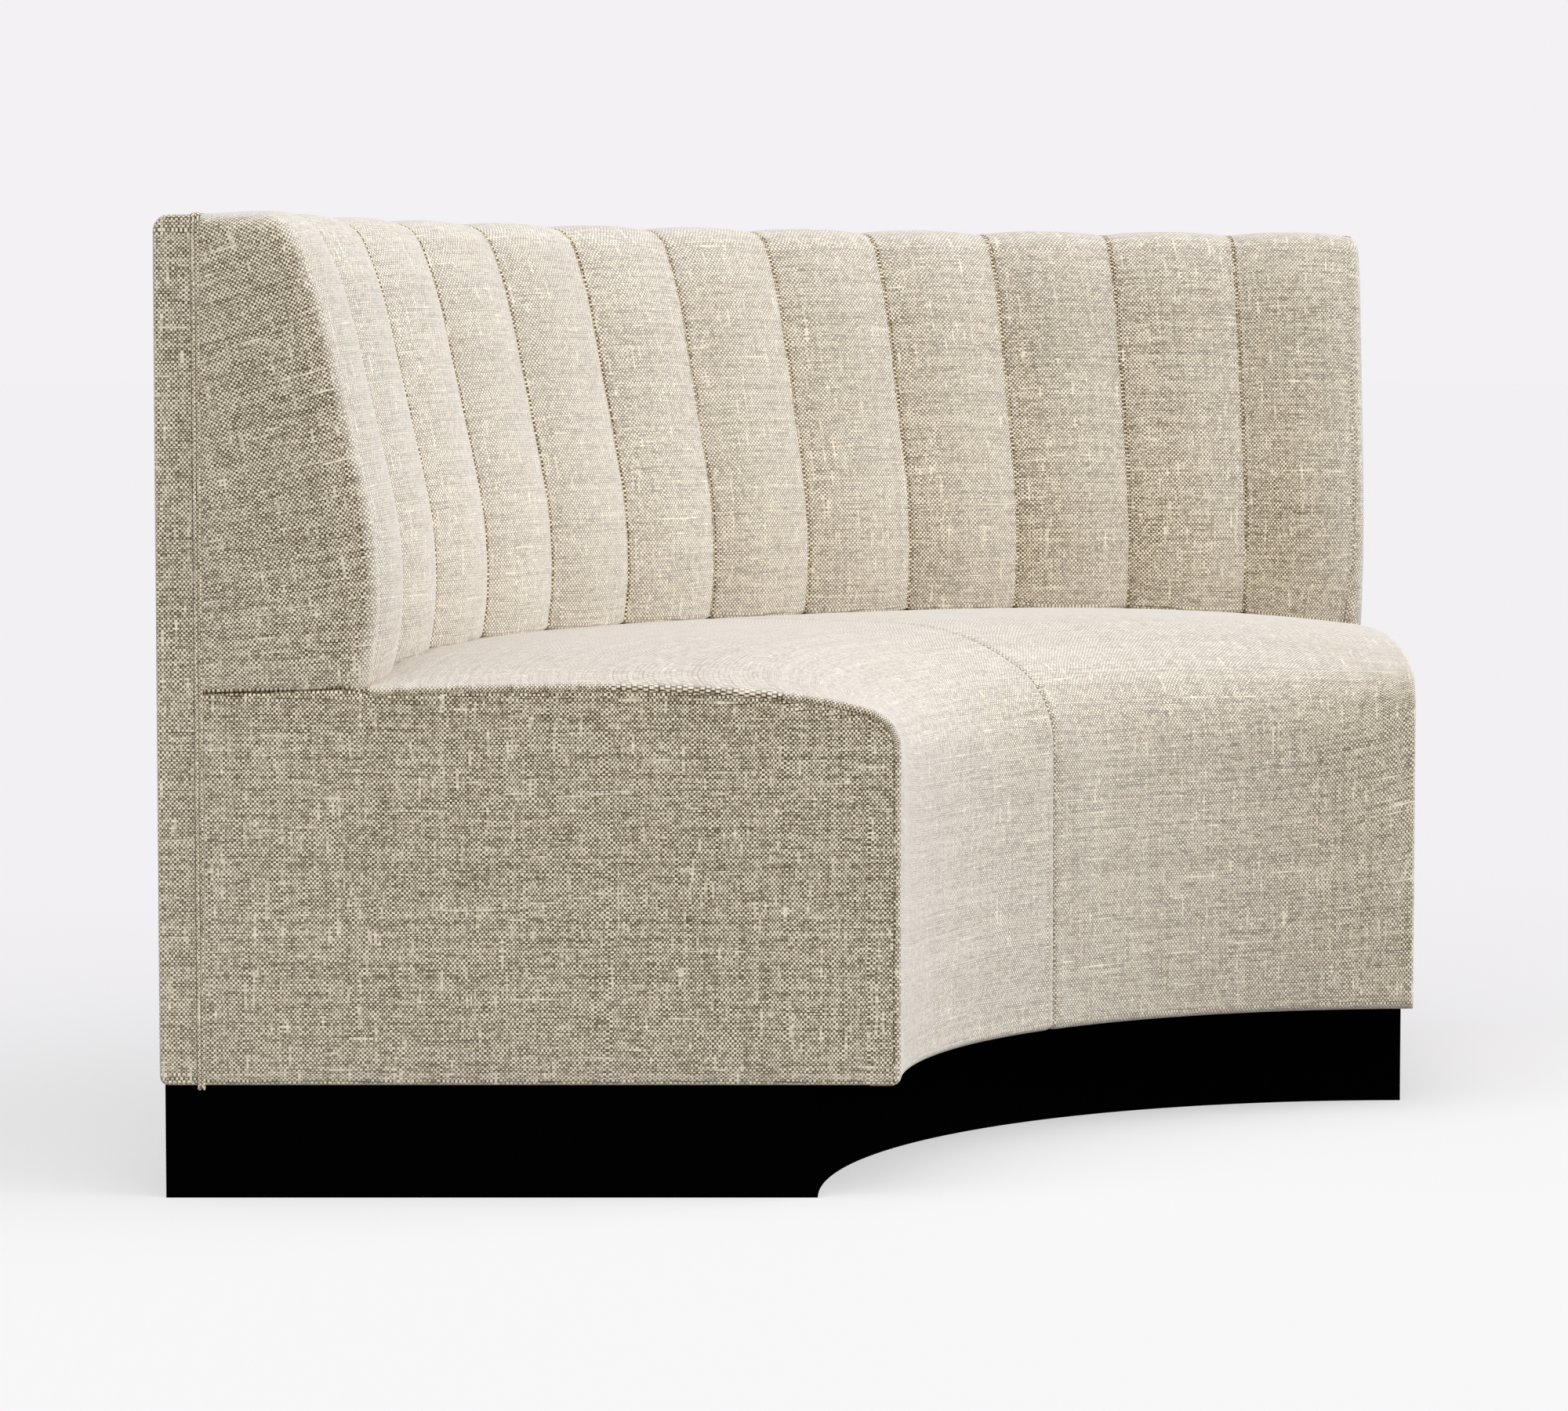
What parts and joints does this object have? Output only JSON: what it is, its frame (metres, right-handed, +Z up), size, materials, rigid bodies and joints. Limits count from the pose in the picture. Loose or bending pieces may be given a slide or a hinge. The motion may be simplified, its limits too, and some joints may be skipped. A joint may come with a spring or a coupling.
{
  "type": "curved banquette bench",
  "caption": "Quarter-circle upholstered banquette with a channelled back, double welt trim and a recessed black plinth.",
  "frame": {"origin": "middle of the footprint's bounding box, on the floor under the plinth", "axes": "+Z up, -Y the way the sitter faces, +X towards the right end as seen from behind the sitter"},
  "size_m": [1.7438, 0.8476, 0.917],
  "materials": {
    "upholstery": "matt slubby plain weave, oatmeal with dark yarns",
    "foam": "open-cell foam",
    "wadding": "soft polyester wadding",
    "plinth_black": "board faced in matt black",
    "frame_timber": "bare plywood and timber",
    "tack_strip": "raw board",
    "webbing": "woven elastic webbing",
    "bolt_steel": "zinc-plated"
  },
  "bodies": {
    "root": {"seat_cover_left": "upholstery", "seat_cover_right": "upholstery", "seat_end_cover_left": "upholstery", "seat_end_cover_right": "upholstery", "back_end_cover_left": "upholstery", "back_end_cover_right": "upholstery", "back_channel_covers_left": "upholstery", "back_channel_covers_right": "upholstery", "outer_back_cover": "upholstery", "double_welt_top": "upholstery", "double_welt_left": "upholstery", "double_welt_right": "upholstery", "seat_foam": "foam", "seat_front_foam": "foam", "back_core_foam": "foam", "back_channel_foams": "foam", "seat_end_padding_left": "wadding", "seat_end_padding_right": "wadding", "back_end_padding_left": "wadding", "back_end_padding_right": "wadding", "outer_back_wadding": "wadding", "plinth_front_board": "plinth_black", "plinth_rear_board": "plinth_black", "plinth_end_board_left": "plinth_black", "plinth_end_board_right": "plinth_black", "plinth_bearers": "frame_timber", "plinth_corner_blocks": "frame_timber", "base_board": "frame_timber", "seat_front_panel": "frame_timber", "seat_front_rail": "frame_timber", "seat_rear_rail": "frame_timber", "seat_ribs": "frame_timber", "spine_board": "frame_timber", "back_bottom_rail": "frame_timber", "back_top_rail": "frame_timber", "back_ribs": "frame_timber", "outer_back_panel": "frame_timber", "seat_end_cleat_left": "frame_timber", "seat_end_cleat_right": "frame_timber", "seat_end_frame_left": "frame_timber", "seat_end_frame_right": "frame_timber", "back_end_frame_left": "frame_timber", "back_end_frame_right": "frame_timber", "welt_tack_strips": "tack_strip", "seat_webbing_radial": "webbing", "seat_webbing_rings": "webbing", "base_bolts": "bolt_steel"}
  },
  "joints": []
}
